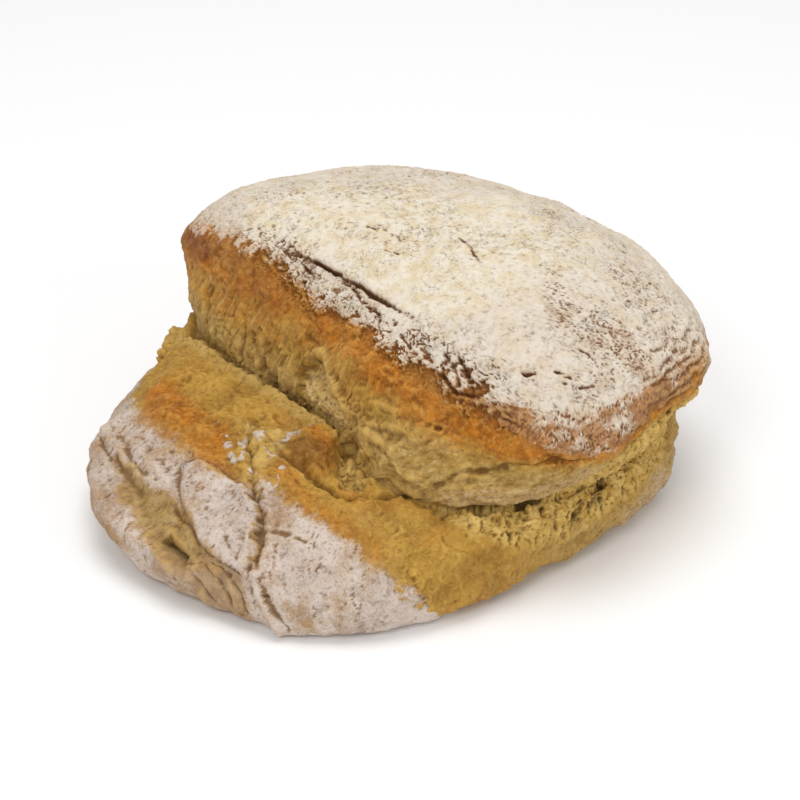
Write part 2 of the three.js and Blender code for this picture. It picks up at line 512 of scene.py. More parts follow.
# Smooth folds of stretched dough on the cap's wall, the shelf and the lobe: line, height, half width.
FOLDS = [
    ([(-73, 5.6), (-70.5, 5.4), (-69.5, 4.9), (-67.5, 4.35)], 2.4, 0.9),
    ([(-74.5, 4.7), (-69.5, 4.95), (-63.5, 4.9), (-58.2, 4.73)], 2.2, 0.9),
    ([(-71.5, 5.5), (-65.5, 5.75), (-62.3, 5.6), (-60.3, 5.2)], 2.0, 0.9),
    ([(-66, 5.9), (-66.5, 5.4), (-65.5, 4.8), (-64, 4.4)], 2.0, 0.8),
    ([(-73.5, 5.6), (-70, 5.95), (-67, 6.22), (-65.5, 6.5), (-66.5, 6.62)], 1.6, 1.1),
    ([(-65.5, 6.5), (-60.5, 6.56), (-55.8, 6.62)], 1.2, 1.1),
    ([(-62.8, 6.5), (-61, 6.38), (-57.2, 6.25)], 1.2, 1.1),
    ([(-76.5, 6.25), (-73, 6.35), (-69, 6.2), (-66, 6.25)], 1.3, 1.2),
    ([(-98, 6.2), (-96, 5.8), (-93, 5.4)], 1.0, 1.0),
    ([(-92, 6.35), (-89, 5.9), (-85, 5.4)], 1.0, 1.0),
    ([(-100, 4.35), (-93, 4.2), (-87, 4.0)], 1.0, 1.6),
    ([(-112, 4.2), (-106, 3.9), (-101, 3.5)], 1.0, 1.8),
    ([(-69, 6.15), (-62, 6.2), (-56.5, 6.15), (-53, 5.95), (-47.5, 5.88), (-44.5, 5.75)], 2.4, 2.0),
    ([(-57.5, 6.1), (-58.5, 5.6), (-60, 5.1), (-60.5, 4.7)], 2.0, 2.2),
    ([(-67, 6.25), (-60.5, 6.35), (-54.5, 6.45), (-50, 6.45)], 1.4, 1.5),
    ([(-44.5, 5.35), (-38, 5.65), (-30, 5.85), (-22, 6.2)], 0.9, 1.8),
    ([(-56, 5.4), (-51, 5.55), (-47, 5.5)], 1.6, 2.0),
    ([(-118, 6.35), (-114, 5.9), (-110, 5.3)], 1.6, 1.6),
    ([(-112, 6.4), (-108.5, 5.9), (-104, 5.3)], 1.8, 1.5),
    ([(-130, 6.3), (-126, 5.8), (-122, 5.3)], 1.2, 2.0),
    ([(-124, 3.3), (-124, 3.7), (-124, 4.2)], 1.2, 5),
    ([(-72.8, 2.15), (-71.2, 1.9), (-69.8, 1.65), (-67.5, 1.1), (-66, 0.5)], 2.2, 1.9),
    ([(-76.5, 1.9), (-74.5, 1.5), (-73, 0.9)], 1.3, 1.6),
    ([(-120, 2.25), (-114, 2.4), (-109.5, 2.47), (-104, 2.42)], 1.8, 2.2),
    ([(-108.5, 2.62), (-101, 2.6), (-93.5, 2.6)], 1.6, 2.2),
    ([(-112, 2.0), (-104, 1.95), (-96, 1.9), (-90, 1.7)], 1.0, 4),
]
for line, height, width in FOLDS:
    away, share = distance_to(line)
    lift += height * hill(away + 0.4 * ragged, width) * tapered(share)

# A slab of floured dough with a hard edge, pushed up over the lobe, and the concavity under it.
PANEL = [
    (-96.5, 2.8), (-92, 2.62), (-86.5, 2.45), (-82, 2.22), (-77.8, 2.1), (-74, 2.02), (-72.8, 2.3),
    (-73.5, 2.63), (-76.5, 2.9), (-81, 3.1), (-88, 3.05), (-93, 2.98),
]
lift += 3.0 * ramp(inside(PANEL) + 0.3 * ragged, -1.0, 1.4)
CONCAVITY = [
    (-108, 2.4), (-98.2, 2.48), (-91.5, 2.5), (-86.5, 2.4), (-80.5, 2.12), (-80.5, 1.9), (-84, 1.65),
    (-87.8, 1.78), (-91.8, 2.03), (-100, 2.27),
]
lift -= 4.5 * ramp(inside(CONCAVITY) + 1.2 * ragged, -4, 6)

# Seams, dents and creases: line, depth, half width.
SEAM = [(-97, 3.93), (-90.8, 3.63), (-84.2, 3.35), (-79.2, 3.08), (-75, 2.8), (-73, 2.5), (-72.6, 2.2)]
DENT = [(-89, 2.03), (-86.4, 1.95), (-84.4, 1.81), (-82.8, 1.74)]
UNDER_FOLD = [
    (-86, 3.8), (-78, 3.84), (-71.5, 3.88), (-65.8, 3.98), (-61.5, 4.25), (-56.5, 4.63), (-50.8, 5.08),
    (-46, 5.5),
]
LIP_FOLD = [
    (-46, 5.75), (-44, 5.95), (-41.8, 6.12), (-39.2, 6.25), (-33.8, 6.4), (-27.5, 6.6), (-21.5, 6.74),
    (-14.8, 6.8), (-9, 6.82),
]
CREASES = [
    (SEAM, 3.4, 1.4),
    ([(-91.5, 2.44), (-89, 2.41), (-86.5, 2.38), (-84, 2.3), (-82, 2.17)], 2.6, 1.5),
    (DENT, 7.0, 3.0),
    (UNDER_FOLD, 3.8, 1.5),
    (LIP_FOLD, 2.3, 1.2),
    ([(-44.8, 5.3), (-41.5, 5.55), (-37.5, 5.7), (-33, 5.72)], 1.0, 1.1),
    ([(-80.5, 1.98), (-77.5, 1.7), (-74.8, 1.4), (-72.2, 0.88)], 1.4, 1.1),
    ([(-79.5, 2.05), (-76, 1.85), (-73.6, 1.6), (-71.5, 1.1)], 1.6, 1.1),
    ([(-82, 1.75), (-79.2, 1.4), (-77, 1.0), (-75.5, 0.5)], 1.4, 1.2),
    ([(-84.5, 1.5), (-82, 1.15), (-80, 0.6)], 1.2, 1.5),
    ([(-71.6, 2.1), (-69.2, 1.75), (-67, 1.35), (-64.8, 0.8)], 1.0, 1.0),
    ([(-76.2, 2.83), (-73.6, 2.63), (-73.2, 2.2), (-72.5, 1.95)], 1.6, 0.9),
    ([(-79.0, 2.45), (-77.4, 2.32), (-75.6, 2.18)], 1.1, 0.7),
    ([(-73.8, 2.66), (-71.5, 2.74), (-69.2, 2.78), (-65.2, 2.78), (-63, 2.7)], 1.1, 0.9),
    ([(-119.5, 2.1), (-112.2, 2.3), (-107.5, 2.33)], 1.2, 1.3),
    ([(-108.8, 2.53), (-104, 2.5), (-99.2, 2.51)], 1.1, 1.1),
    ([(-137.6, 6.6), (-137.4, 6.3), (-136, 5.9), (-135, 5.4)], 2.6, 1.7),
    ([(-121, 6.33), (-118.5, 6.1), (-116, 5.88), (-112.2, 5.1)], 2.0, 1.5),
    ([(-117, 6.0), (-111.5, 5.5), (-104, 5.1)], 1.6, 1.6),
    ([(-126, 6.5), (-123.5, 6.2), (-121, 5.7)], 1.2, 1.4),
    ([(-108.5, 6.75), (-105, 6.62), (-100, 6.6), (-94, 6.64)], 1.3, 1.1),
]
for line, depth, width in CREASES:
    away, share = distance_to(line)
    lift -= depth * hill(np.maximum(away + 0.4 * ragged, 0), width) * tapered(share, 0.12)

# Dough raised round the dent and along both sides of the seam.
from_dent = away_from(DENT)
lift += 1.5 * hill(from_dent - 5.5, 2.2)
from_seam = away_from(SEAM)
lift += 1.3 * hill(from_seam - 4.2 + 0.8 * ragged, 1.8)

# Loose crumbs stuck to the shelf's far end.
LOOSE_CRUMBS = [(-136, 3.05), (-139.5, 3.2), (-141, 3.6)]
from_crumbs = away_from(LOOSE_CRUMBS)
lift += 3 * ramp(from_crumbs, 6, 2) * ramp(ragged, -0.1, 0.5)

points = still + normals(still, quads) * lift[:, None]

# ---------------------------------------------------------------- fine shapes

facing = normals(points, quads)
detail = np.zeros(len(points))

# The crack where the cap's thick crust overlaps the flaky band below it.
OVERLAP = [
    (-131, 7.85), (-128, 7.95), (-124.8, 8.03), (-117.2, 8.03), (-108, 8.1), (-98, 8.16), (-91.2, 8.23),
    (-80.2, 8.23), (-73, 8.23), (-65.5, 8.2), (-57.8, 8.14), (-51.2, 8.04),
]
from_overlap, overlap_share = distance_to(OVERLAP)
from_overlap = np.maximum(from_overlap + 0.6 * ragged + 0.3 * fine, 0)
above_overlap = ring > along(OVERLAP)
overlap_open = np.interp(overlap_share, [0, 0.08, 0.3, 0.7, 0.85, 1], [0, 0.7, 1, 0.8, 0.45, 0])
detail -= 2.4 * hill(from_overlap, 0.75) * overlap_open
detail += np.where(above_overlap, 1.5, -0.9) * hill(from_overlap - 2.4, 2.4) * overlap_open
scorch = 1.1 * hill(from_overlap, 0.8) * overlap_open
below_overlap = ramp(from_overlap + 2.0 * fine, 3.6, 1.4) * ~above_overlap * ramp(overlap_open, 0.5, 0.9)
scorch = strongest(scorch, 0.6 * below_overlap * ramp(ragged + 0.4 * fine, -0.1, 0.4))

# Cracks in the floured crust: line, depth, half width.
CRACKS = [
    ([(-124.2, 7.85), (-119, 7.72), (-114.2, 7.68)], 1.8, 0.8),
    ([(-108, 8.05), (-95.8, 8.08), (-86, 8.0), (-76, 7.92), (-68, 7.85)], 2.2, 0.9),
    ([(-144.2, 9.25), (-139, 9.2), (-134, 9.28), (-126, 9.36), (-117, 9.33)], 1.0, 0.6),
    ([(-128.2, 9.1), (-124, 9.18), (-118, 9.16)], 0.8, 0.5),
    ([(-112, 8.98), (-104.8, 9.05), (-94.2, 9.04)], 0.9, 0.5),
    ([(-24, 9.86), (-19, 9.74), (-17.5, 9.6), (-19.5, 9.48), (-15.5, 9.38)], 1.0, 0.6),
    ([(4, 9.36), (7, 9.48), (16, 9.5), (24, 9.42), (29.5, 9.37)], 0.8, 0.5),
    ([(4, 8.95), (6.5, 8.9), (8.5, 8.8)], 0.7, 0.5),
    ([(-7, 8.2), (-4.5, 8.13), (-3.2, 8.02)], 0.9, 0.5),
    ([(-23.2, 7.93), (-21.4, 7.88), (-18.6, 7.95)], 2.4, 0.7),
    ([(-15.4, 7.95), (-12.5, 7.92), (-9.8, 7.88)], 2.4, 0.7),
    ([(-14.5, 7.85), (-10, 7.77), (-5.5, 7.74)], 1.4, 0.5),
    ([(-29, 8.02), (-27, 8.04), (-25, 8.0)], 0.6, 0.5),
    ([(-21.4, 7.47), (-20.2, 7.42), (-19.2, 7.33)], 0.8, 0.5),
    ([(-15.8, 7.42), (-12.5, 7.4), (-9.5, 7.45)], 0.7, 0.4),
    ([(-46, 7.55), (-43, 7.43), (-40, 7.37), (-36.5, 7.36), (-33, 7.43)], 2.4, 0.9),
    ([(-43.8, 7.9), (-41.2, 7.75), (-39.3, 7.55), (-38.5, 7.42)], 2.2, 0.8),
    ([(-40.6, 8), (-38.8, 7.88), (-37.2, 7.72), (-35.6, 7.55)], 2.6, 0.9),
    ([(-53, 7.75), (-49, 7.6), (-45.5, 7.45)], 1.2, 0.7),
    ([(-62, 7.72), (-57, 7.62), (-52, 7.5)], 1.1, 0.7),
    ([(-30, 7.3), (-27, 7.33), (-24, 7.27)], 0.8, 0.5),
    ([(60, 7.9), (75, 8.1), (95, 8.05), (112, 7.8)], 1.3, 0.8),
    ([(130, 7.4), (148, 7.6), (165, 7.5), (176, 7.6)], 1.2, 0.8),
    ([(80, 6.4), (92, 6.2), (105, 6.35)], 0.9, 0.7),
    ([(120, 4.2), (134, 4.0), (150, 4.1)], 0.9, 0.8),
]
for line, depth, width in CRACKS:
    away, share = distance_to(line)
    away = np.maximum(away + 0.6 * ragged + 0.5 * fine, 0)
    strength = tapered(share, 0.2) * ramp(fine + 0.6 * ragged, -1.1, -0.2)
    detail -= depth * hill(away, width) * strength
    detail += 0.35 * depth * hill(away - 2, 1.4) * strength
    scorch = strongest(scorch, hill(away, width + 0.1) * strength * min(1.0, 0.25 + 0.55 * depth))

# Clotted flour that broke up as the crust stretched, along the cap's edge.
flaky = ramp(ring, cap_edge - 0.2, cap_edge + 0.1) * ramp(ring, cap_edge + 1.15, cap_edge + 0.7)
flaky *= ramp(np.abs(degrees_apart(azimuth, FRONT)), 66, 48)
drift = np.stack([layered(still, 5, 3, seed) for seed in (141, 151, 161)], 1)
clods = layered(still + 0.8 * drift, 4.6, 5, 51, 0.64)
covered = ramp(ring, cap_edge - 0.05, cap_edge + 0.7)
flake_gap = ramp(clods + 0.85 * covered + 0.25 * lump, 0.44, 0.1) * flaky
splits = hairlines(still + 1.2 * drift, 8, 4, 55, 0.6, core=0.02) * flaky * ramp(ragged, -0.5, 0.2)
flake_gap = strongest(flake_gap, 0.8 * splits)
detail += (0.9 - 1.6 * flake_gap + 0.7 * clods) * flaky

# Fine crinkles over the rest of the floured crust, strongest where it is browner: in a patch near the
# blunt end, and along the rim over the lip, where flour lies thin.
BROWN_PATCH = [(3, 9.05), (9, 8.8), (8.5, 8.1), (8, 7.7), (-1.5, 7.75), (-6, 8.1), (-7, 8.45), (-4, 8.8)]
THIN_RIM = [
    (-38, 7.3), (-33, 7.55), (-27, 7.48), (-23.5, 7.5), (-21, 7.3), (-19, 7.31), (-17, 7.55), (-11, 7.5),
    (-1, 7.52), (10, 7.52), (18, 7.42), (20, 7.15), (7.5, 7.2), (1, 7.12), (-4.5, 7.0), (-9.5, 6.95),
    (-14, 7.0), (-22, 7.12), (-30, 7.24),
]
thin_rim = area(THIN_RIM, 2.5, 1.6)
browner = strongest(area(BROWN_PATCH, 10, 3), thin_rim)
patches = layered(still, 26, 3, 67)
crinkled = np.clip(0.9 * browner + 0.8 * ramp(patches, 0.05, 0.7) + 0.5 * flaky, 0, 1) * flour_above
crinkle = strongest(
    hairlines(still + 1.5 * drift, 7, 4, 63, 0.62),
    0.8 * hairlines(still + 1.0 * drift, 4, 3, 69, 0.62),
)
crinkle *= crinkled * ramp(fine + 0.5 * ragged, -0.5, 0.3)
detail -= 0.8 * crinkle
scorch = strongest(scorch, (0.35 + 0.25 * browner) * crinkle)
detail += 0.34 * fine * (flour_above + 0.7 * flour_below) + 0.3 * ragged * flour_above
detail += 0.35 * layered(still, 3.2, 4, 73, 0.65) * flour_above * (0.4 + crinkled)

# Wrinkles squeezed up at the cap's blunt end.
end_wrinkles = ramp(np.abs(azimuth - 22), 22, 8) * ramp(ring, 6.95, 7.2) * ramp(ring, 8.5, 7.7)
furrow = np.sin(still[:, 2] * 1.6 - azimuth * 0.12 + 4.5 * wander + 2.2 * ragged)
detail += end_wrinkles * (0.55 * furrow + 0.7 * ragged)

# Streaks pressed in the lobe's floured side, running down and outwards, and leathery unevenness.
streak_at = sheet(azimuth * 1.5 + ring * 3, ring * 2.2)
streaks = layered(streak_at, 4.5, 4, 75, 0.55)
streaked = flour_below * arc(-140, -120, -60, -38)
detail += (0.65 * streaks + 0.45 * ragged) * streaked + 0.5 * ragged * flour_below * (1 - streaked)
lobe_crease = hairlines(streak_at * (0.7, 0.35, 1) + 0.5 * drift, 5, 3, 85, width=0.08)
detail -= 0.45 * lobe_crease * streaked * ramp(ragged, -0.3, 0.5)

# Upright fibres torn in the cap's wall.
fibre_at = sheet(azimuth * 1.1, ring * 1.7)
fibres = layered(fibre_at, 3.6, 4, 71, 0.55)
tears = hairlines(fibre_at * (0.45, 0.28, 1) + 0.25 * drift, 5, 3, 79)
fibre_zone = ramp(ring, crevice_ring - 0.15, crevice_ring + 0.1) * ramp(ring, 7.0, 6.4)
fibre_zone *= arc(-155, -142, -74, -62)
detail += 1.5 * fibres * fibre_zone * (1 - 0.2 * hollow)
detail -= 1.1 * tears * fibre_zone * (1 - hollow) * ramp(lump, -0.5, 0.3)

# Stretch lines in the smooth dough over the crumb, following the lip.
sheet_zone = ramp(from_crevice, 0.05, 0.25) * ramp(ring, 6.95, 6.6) * arc(-66, -56, -6, 6)
sheet_at = sheet(azimuth * 0.45, from_crevice * 14)
sheet_lines = layered(sheet_at + 0.6 * ragged[:, None], 2.6, 4, 77, 0.6)
detail += 0.85 * sheet_lines * sheet_zone

# Skin of the bare crust: soft leathery lumps, small blisters and one open bubble.
leather = layered(still, 8, 4, 81, 0.45)
torn_lines = 0.35 - np.abs(layered(still + 1.5 * drift, 13, 4, 87, 0.5))
detail += (1.3 * leather + 1.9 * torn_lines) * bare * (1 - 0.5 * sheet_zone - 0.35 * fibre_zone)
detail += 0.5 * ramp(scattered(still, 9, 91), 0.26, 0.1) * (0.3 + 0.7 * bare)
BUBBLE = [(-44.9, 6.69), (-44, 6.71)]
from_bubble = away_from(BUBBLE)
detail += 0.6 * hill(from_bubble - 1.7, 0.7) - 1.6 * ramp(from_bubble, 1.5, 0.6)
PINHOLE = [(-69.2, 1.77), (-68.8, 1.75)]
from_pinhole = away_from(PINHOLE)
detail -= 1.4 * ramp(from_pinhole, 1.3, 0.6)

# Open crumb: pits of many sizes with thin walls between, drawn out upright under the lip.
seam = ramp(from_seam + 1.6 * ragged + 0.8 * fine, 3.2, 1.2)
OLIVE_CRUMB = [(-94.5, 3.95), (-89, 4.1), (-84, 3.95), (-82, 3.5), (-85, 3.4), (-89, 3.62)]
olive_crumb = area(OLIVE_CRUMB, 3, 2)
fluff = hill(ridge, 3.8)
crumb = strongest(crumb_strip, hollow, pocket, 0.8 * seam, 0.6 * olive_crumb, 0.45 * fluff)
upright = (1, 1, 0.6)
DEEPEST_PIT = 3.3
pits = 3.0 * ramp(scattered(still * upright + 1.4 * drift, 6.0, 101), 0.62, -0.1)
pits += 1.6 * ramp(scattered(still * upright + 1.0 * drift, 3.4, 107), 0.6, 0.0)
pits += 0.4 * ramp(scattered(still, 1.9, 111), 0.6, 0.25)
pits = np.minimum(pits, DEEPEST_PIT)
pit_strength = np.clip(crumb_strip + 0.5 * hollow + 0.35 * pocket + 0.45 * seam + 0.3 * olive_crumb, 0, 1)
pit_strength *= 1 - 0.5 * gap
detail -= pit_strength * (0.85 * pits - 1.0) * (1 - 0.3 * ramp(azimuth, 8, 26))
detail += (0.8 * fine + 0.6 * ragged) * strongest(crumb, fluff)

# The loaf stands flat on its underside, which is smoother than the rest.
underside = ramp(ring, 0.25, -0.1)
detail *= 1 - 0.7 * underside
points = points + facing * detail[:, None]
points[:, 2] = np.maximum(points[:, 2], 0)

# Small hollows and crests of the finished skin, from 0 to 1: the hollows are given painted shade and a little
# less flour, the crests a painted highlight.
smoothed = np.stack([eased(points[:, axis], quads, 3) for axis in range(3)], 1)
sunken = ((smoothed - points) * facing).sum(1)
cranny = ramp(sunken, 0.04, 0.3)
crest_highlight = ramp(sunken, -0.04, -0.3)

# ---------------------------------------------------------------- cover

# The rolled lip of dough that shows between the gap and the flour's edge.
lip = ramp(from_crevice, 0, 0.12) * ramp(from_crevice + 0.1 * ragged, 1.05, 0.75) * under_cap
lip *= ramp(ring, cap_edge - 0.1, cap_edge - 0.28)

# How thickly flour lies, from 0 to 1: thick on the crown, thin on the edges, patchy on the lobe.
mottle = layered(still, 8, 4, 131)
back_side = ramp(np.abs(degrees_apart(azimuth, BACK)), 90, 60)
cream_edge = along(CREAM_EDGE)
creamy = ramp(ring + 0.3 * wander + 0.15 * ragged, cream_edge - 0.3, cream_edge + 0.35)
thin_edge = ramp(ring + 0.15 * ragged, cap_edge + 0.8, cap_edge + 0.05)
steep = ramp(ring + 0.35 * wander + 0.2 * ragged, cap_edge + 1.5, cap_edge + 0.4)
crown_flour = 0.9 - 0.26 * thin_edge + 0.08 * creamy
crown_flour -= 0.1 * ramp(mottle, 0, 0.8) + 0.08 * ramp(patches, 0.2, 0.8) + 0.06 * end_wrinkles
crown_flour -= 0.22 * thin_rim * ramp(clods, 0.4, -0.5) + 0.2 * browner * ramp(mottle, -0.5, 0.5)
crown_flour -= 0.2 * steep * back_side * ramp(mottle + 0.5 * patches, -0.6, 0.5)

lobe_flour = 0.7 - 0.1 * ramp(patches, -0.2, 0.7) - 0.12 * ramp(mottle, -0.1, 0.8)
lobe_flour -= 0.1 * ramp(streaks, 0.1, 0.7) * streaked + 0.3 * ramp(ring, 1.8, 0.4) * back_side
lobe_flour += 0.08 * ramp(inside(PANEL), -1, 3) + 0.1 * ramp(azimuth, -74, -68)
BESIDE_PANEL = [
    (-81, 2.0), (-79.2, 2.1), (-74.5, 1.95), (-73, 1.5), (-69.8, 0.88), (-72, 0.5), (-77.5, 0.8),
    (-80.5, 1.5),
]
LOBE_BROW = [(-112, 1.75), (-104, 1.65), (-97, 1.72), (-92, 1.6), (-96, 1.2), (-106, 1.3)]
LOBE_CORNER = [(-67, 1.9), (-64, 1.7), (-62, 1.2), (-64, 1.1), (-66.5, 1.5)]
LOBE_FOOT = [(-103, 0.9), (-90, 0.8), (-74, 0.5), (-74, -0.3), (-103, -0.3)]
# Places with less flour: outline, share lost, fade in millimetres.
WORN_PLACES = [
    (CONCAVITY, 0.42, 3.5),
    (BESIDE_PANEL, 0.3, 4),
    (LOBE_BROW, 0.25, 4),
    (LOBE_CORNER, 0.25, 3),
    (LOBE_FOOT, 0.3, 5),
]
for outline, share_lost, fade in WORN_PLACES:
    lobe_flour -= share_lost * area(outline, fade, 2)
lobe_flour -= 0.4 * ramp(from_dent + 1.5 * ragged, 6, 1.8)
FLOURED_LEDGE = [(-89.5, 2.33), (-87, 2.26), (-85.5, 2.2)]
from_ledge = away_from(FLOURED_LEDGE)
lobe_flour += 0.35 * ramp(from_ledge + 1.5 * ragged, 3, 0.9)

thick = flour_above * (0.62 + 0.38 * creamy)
flour = strongest(flour_above * crown_flour, flour_below * np.clip(lobe_flour, 0, 1))
flour *= 1 - 0.35 * cranny
flour *= (1 - 0.85 * flake_gap) * (1 - 0.8 * np.clip(scorch, 0, 1))
flour *= 1 - 0.85 * seam * ramp(fine, 0.5, -0.2)

# Clumps of flour dropped on the bare shelf and along the seam.
CLUMPS = [
    [(-101, 3.55), (-95, 3.43), (-88.2, 3.25)],
    [(-98.8, 3.9), (-91.5, 3.53), (-84.5, 3.28), (-80.5, 3.4)],
    [(-93, 3.88), (-88, 3.75), (-83.5, 3.65)],
    [(-85.8, 3.8), (-85.8, 4.13), (-84.8, 4.38)],
    [(-80, 3.6), (-78, 3.3), (-76.5, 3.05)],
]
CLUMP_HEIGHT = 0.9
clots = layered(still, 4, 3, 171, 0.6)
for line in CLUMPS:
    clump = ramp(away_from(line) + 2.5 * np.abs(fine), 4.2, 1.4) * ramp(clots, -0.05, 0.3)
    flour = strongest(flour, 0.8 * clump)
    points += facing * (CLUMP_HEIGHT * clump)[:, None]

# Flour dusted on the lip, in the hollow, low at the near end and over the edges of the bare band.
near_end = ramp(azimuth + 10 * wander + 5 * ragged, -30, 12) * ramp(azimuth + 8 * wander, 68, 44)
near_end *= ramp(ring + 0.4 * wander + 0.25 * ragged, 3.0, 1.3)
flour = strongest(
    flour,
    0.46 * lip * ramp(ring, 6.9, 6.6),
    0.47 * hollow * ramp(ring + 0.1 * ragged, 6.55, 6.25),
    0.52 * near_end,
)
dusting = ramp(np.abs(ring - lobe_edge), 0.5, 0.05) + 0.8 * ramp(cap_edge - ring, 0.5, 0.05)
flour = np.clip(flour + 0.3 * ramp(fine + 0.5 * mottle, 0.4, 0.9) * bare * dusting, 0, 1)

# Dull, dusty crust under the flour, away from its edges.
cap_dust = ramp(ring, cap_edge + 0.15, cap_edge + 0.8)
lobe_dust = 0.75 * ramp(ring, lobe_edge + 0.05, lobe_edge - 0.4)
dusty = strongest(strongest(cap_dust, lobe_dust) * (1 - 0.3 * thin_rim), 0.5 * thin_rim)
dusty *= (1 - 0.6 * flake_gap) * (1 - 0.75 * area(CONCAVITY, 5, 2))

# How brown the bare crust is: most on the cap's wall just under the flour, and on parts of the shelf.
wall_bake = ramp(ring + 0.12 * ragged, 6.4, 6.85)
wall_bake *= np.interp(azimuth, [-180, -140, -50, -30, 10, 60, 180], [0.5, 0.9, 1, 1, 0.8, 0.5, 0.5])
foot_bake = ramp(ring, 1.3, 0.3) * ramp(np.abs(degrees_apart(azimuth, NEAR_END)), 40, 70)
SHELF_BROWN = [
    (-124, 2.8), (-122, 3.55), (-110, 3.75), (-99, 3.7), (-93, 3.45), (-86, 3.15), (-92, 2.88), (-104, 2.88),
    (-114, 2.9),
]
FOLD_FACE = [(-87, 3.84), (-84, 4.2), (-78, 4.4), (-73, 4.45), (-70.5, 4.0), (-76, 3.86)]
fold_face = area(FOLD_FACE, 3, 1)
SHELF_RIM = [(-80, 3.6), (-75, 3.5), (-70, 3.42), (-62, 3.2), (-55, 2.95)]
from_shelf_rim = away_from(SHELF_RIM)
bake = strongest(
    wall_bake,
    0.7 * thin_rim,
    0.45 * ramp(ring, 5.9, 6.5) * ramp(azimuth, -50, -75),
    0.9 * ramp(inside(SHELF_BROWN) + 3 * wander, -5, 7),
    0.75 * ramp(in_beak, -3, 4) * ramp(ring, 4.9, 4.4),
    0.6 * fold_face,
    0.5 * ramp(from_shelf_rim, 8, 2),
    0.6 * foot_bake,
)
bake = np.clip(bake + 0.2 * wander + 0.3 * layered(still, 15, 3, 191) + 0.22 * ragged, 0, 1)

# How pale and stretched it is: on the sheet over the crumb, the far wall, the ridge and the near end, where
# the low pale crust is partly painted light, made lighter to stand in for the weak light that falls there.
above_crevice = ramp(from_crevice, -0.1, 0.2)
pale = strongest(
    ramp(ring, 6.6, 6.1) * above_crevice * arc(-80, -62, 4, 26),
    0.8 * ramp(ring, 6.5, 5.8) * above_crevice * ramp(azimuth, -66, -84),
    lip,
    hollow,
    0.9 * fluff,
    0.7 * hill(from_arch, 2.0),
    ramp(ring, 3.4, 1.8) * arc(-36, -8, 34, 66),
)
pale = np.clip(pale + 0.16 * wander + 0.14 * ragged, 0, 1)

# How olive the thin-floured hollows and the shaded dough are.
OLIVE_STREAKS = [(-82, 2.0), (-74, 2.0), (-68, 0.9), (-78, 0.4)]
olive = strongest(
    0.9 * area(CONCAVITY, 4, 2) + 0.7 * seam + 0.7 * olive_crumb,
    0.75 * ramp(inside(OLIVE_STREAKS), -3, 4),
    0.6 * fibre_zone * ramp(ring, 6.4, 5.6),
    0.6 * sheet_zone * ramp(ring, 5.7, 6.1) * ramp(ring, 6.75, 6.4),
)
olive = np.clip(olive * (1 - 0.8 * lip) + 0.12 * wander, 0, 1)

# Red-brown crust between flakes, in cracks, at the cap's far corner and along the brow beside it.
FAR_CORNER = [(-156, 6.85), (-150, 7.2), (-143, 7.3), (-139, 7.1), (-142, 6.85), (-150, 6.7)]
scorch = strongest(
    scorch,
    flake_gap * (0.2 + 0.45 * ramp(ring, cap_edge + 0.15, cap_edge + 0.7)),
    0.15 * flour_above * ramp(ring, cap_edge + 0.5, cap_edge + 0.05),
    0.55 * area(FAR_CORNER, 4, 2),
    0.3 * hill(ring - cap_edge + 0.12, 0.3) * arc(-160, -150, -125, -100),
)
scorch = np.clip(scorch, 0, 1)

# Shade in the deepest places: pits, the gap, the folds and one dark hole in the crumb under the lip.
DARK_HOLE = [(-25.5, 5.1), (-23.5, 5.1), (-21, 5.16)]
from_hole = away_from(DARK_HOLE)
from_fold = away_from(UNDER_FOLD)
shade = strongest(
    np.clip(-detail / 3.0, 0, 0.85) * pit_strength,
    0.6 * gap * ramp(gap_depth, 1, 4),
    0.5 * ramp(from_bubble, 1.5, 0.8),
    0.55 * hill(from_dent, 3.2),
    0.5 * fold_face,
    0.4 * hill(from_fold, 1.6),
    ramp(from_hole, 3.0, 1.0),
    0.5 * ramp(from_pinhole, 1.4, 0.7),
    0.8 * hollow * ramp(ring, 6.28, 6.42) * ramp(azimuth, -84, -90),
    0.35 * pocket * (1 - crest_highlight),
    0.6 * hill(from_overlap, 0.8) * overlap_open,
)
shade = np.clip(eased(shade, quads), 0, 1)

# Lines that the finest streaks follow: upright on the torn wall, level on the sheet of dough.
run = sheet(azimuth * 1.6, ring * 2.4)
sheet_run = sheet(from_crevice * 15, azimuth * 0.35)
run = np.where((sheet_zone > 0.5)[:, None], sheet_run, run)
streaky = np.clip(fibre_zone + 0.8 * sheet_zone + 0.5 * streaked, 0, 1)

# ---------------------------------------------------------------- the mesh

COVER = {
    "flour": flour,
    "thick": thick,
    "dusty": dusty,
    "cranny": cranny,
    "crest_highlight": crest_highlight,
    "bake": bake,
    "pale": pale,
    "olive": olive,
    "crumb": crumb,
    "scorch": scorch,
    "shade": shade,
    "streaky": streaky,
}

mesh = bpy.data.meshes.new("loaf_skin")
mesh.vertices.add(len(points))
mesh.vertices.foreach_set("co", (points * MM).astype(np.float32).ravel())
mesh.loops.add(quads.size)
mesh.loops.foreach_set("vertex_index", quads.astype(np.int32).ravel())
mesh.polygons.add(len(quads))
mesh.polygons.foreach_set("loop_start", np.arange(0, quads.size, 4, dtype=np.int32))
mesh.update(calc_edges=True)
layout = mesh.uv_layers.new(name="OFBake")
layout.data.foreach_set("uv", flat.astype(np.float32).ravel())
mesh.shade_smooth()
for name, values in COVER.items():
    layer = mesh.attributes.new(name, "FLOAT", "POINT")
    layer.data.foreach_set("value", values.astype(np.float32))
run_layer = mesh.attributes.new("run", "FLOAT_VECTOR", "POINT")
run_layer.data.foreach_set("vector", (run * MM).astype(np.float32).ravel())

loaf = bpy.data.objects.new("loaf_crust", mesh)
bpy.context.scene.collection.objects.link(loaf)
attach(loaf, "root")
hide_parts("loaf")

# ---------------------------------------------------------------- material


def linear(red, green, blue):
    """A colour given from 0 to 255 as seen on a screen, as light."""
    channels = np.array([red, green, blue]) / 255
    light = np.where(channels <= 0.04045, channels / 12.92, ((channels + 0.055) / 1.055) ** 2.4)
    return (*light.tolist(), 1.0)


